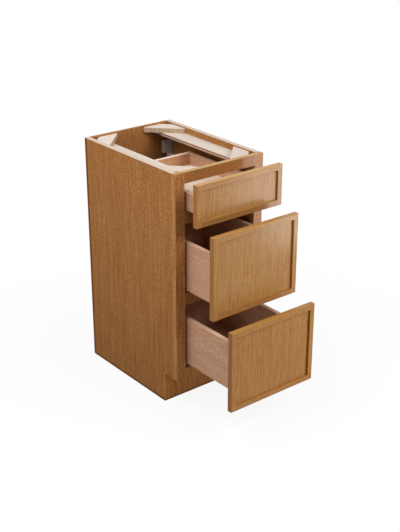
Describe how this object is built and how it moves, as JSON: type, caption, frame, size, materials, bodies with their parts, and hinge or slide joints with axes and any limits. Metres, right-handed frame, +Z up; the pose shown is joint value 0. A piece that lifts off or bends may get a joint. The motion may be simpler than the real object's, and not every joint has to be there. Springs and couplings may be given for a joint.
{
  "type": "vanity drawer base cabinet",
  "caption": "Face-frame vanity base cabinet with overlay slim-framed drawer fronts on telescopic under-mount runners, a toe kick and an open top braced by corner blocks.",
  "frame": {"origin": "on the floor, at the middle of the back, where floor and wall meet", "axes": "+Z up, +Y into the wall, so the drawers open towards -Y, and +X to the right of someone facing the drawers"},
  "size_m": [0.381, 0.8202, 0.8763],
  "materials": {
    "oak_veneer": "stained, satin lacquer, raw edges on top",
    "solid_oak": "stained, semi-gloss lacquer",
    "box_wood": "clear satin lacquer",
    "pine": "bare, sawn",
    "plywood": "bare, plies showing on the edges",
    "zinc_steel": "zinc plated",
    "pale_plastic": "moulded, slightly translucent"
  },
  "bodies": {
    "carcass": {"back_panel": "oak_veneer", "floor_panel": "oak_veneer", "left_side_panel": "oak_veneer", "right_side_panel": "oak_veneer", "toe_kick_board": "solid_oak", "left_stile": "solid_oak", "right_stile": "solid_oak", "top_rail": "solid_oak", "upper_cross_rail": "solid_oak", "lower_cross_rail": "solid_oak", "bottom_rail": "solid_oak", "rear_left_corner_block": "pine", "rear_right_corner_block": "pine", "front_left_corner_block": "pine", "front_right_corner_block": "pine", "left_side_rail": "plywood", "right_side_rail": "plywood", "rear_runner_brackets": "pale_plastic", "upper_cabinet_runners": "zinc_steel", "middle_cabinet_runners": "zinc_steel", "lower_cabinet_runners": "zinc_steel"},
    "upper_drawer": {"upper_front_top_rail": "solid_oak", "upper_front_bottom_rail": "solid_oak", "upper_front_panel": "solid_oak", "upper_front_left_stile": "solid_oak", "upper_front_right_stile": "solid_oak", "upper_box_front": "box_wood", "upper_box_back": "box_wood", "upper_box_bottom": "box_wood", "upper_box_left_side": "box_wood", "upper_box_right_side": "box_wood", "upper_drawer_runners": "zinc_steel", "upper_locking_clips": "pale_plastic"},
    "upper_middle_slide": {"upper_intermediate_runners": "zinc_steel"},
    "middle_drawer": {"middle_front_top_rail": "solid_oak", "middle_front_bottom_rail": "solid_oak", "middle_front_panel": "solid_oak", "middle_front_left_stile": "solid_oak", "middle_front_right_stile": "solid_oak", "middle_box_front": "box_wood", "middle_box_back": "box_wood", "middle_box_bottom": "box_wood", "middle_box_left_side": "box_wood", "middle_box_right_side": "box_wood", "middle_drawer_runners": "zinc_steel", "middle_locking_clips": "pale_plastic"},
    "middle_middle_slide": {"middle_intermediate_runners": "zinc_steel"},
    "lower_drawer": {"lower_front_top_rail": "solid_oak", "lower_front_bottom_rail": "solid_oak", "lower_front_panel": "solid_oak", "lower_front_left_stile": "solid_oak", "lower_front_right_stile": "solid_oak", "lower_box_front": "box_wood", "lower_box_back": "box_wood", "lower_box_bottom": "box_wood", "lower_box_left_side": "box_wood", "lower_box_right_side": "box_wood", "lower_drawer_runners": "zinc_steel", "lower_locking_clips": "pale_plastic"},
    "lower_middle_slide": {"lower_intermediate_runners": "zinc_steel"}
  },
  "joints": [
    {"name": "upper_drawer_slide", "type": "slide", "parent": "carcass", "child": "upper_drawer", "axis": [0, -1, 0], "range_m": [-0.0845, 0.3355]},
    {"name": "upper_middle_slide", "type": "slide", "parent": "carcass", "child": "upper_middle_slide", "axis": [0, -1, 0], "range_m": [-0.04235, 0.16785]},
    {"name": "middle_drawer_slide", "type": "slide", "parent": "carcass", "child": "middle_drawer", "axis": [0, -1, 0], "range_m": [-0.1698, 0.2502]},
    {"name": "middle_middle_slide", "type": "slide", "parent": "carcass", "child": "middle_middle_slide", "axis": [0, -1, 0], "range_m": [-0.085, 0.1252]},
    {"name": "lower_drawer_slide", "type": "slide", "parent": "carcass", "child": "lower_drawer", "axis": [0, -1, 0], "range_m": [-0.2663, 0.1537]},
    {"name": "lower_middle_slide", "type": "slide", "parent": "carcass", "child": "lower_middle_slide", "axis": [0, -1, 0], "range_m": [-0.13325, 0.07695]}
  ],
  "couplings": [
    {"joint": "upper_middle_slide", "follows": "upper_drawer_slide", "ratio": 0.5},
    {"joint": "middle_middle_slide", "follows": "middle_drawer_slide", "ratio": 0.5},
    {"joint": "lower_middle_slide", "follows": "lower_drawer_slide", "ratio": 0.5}
  ]
}
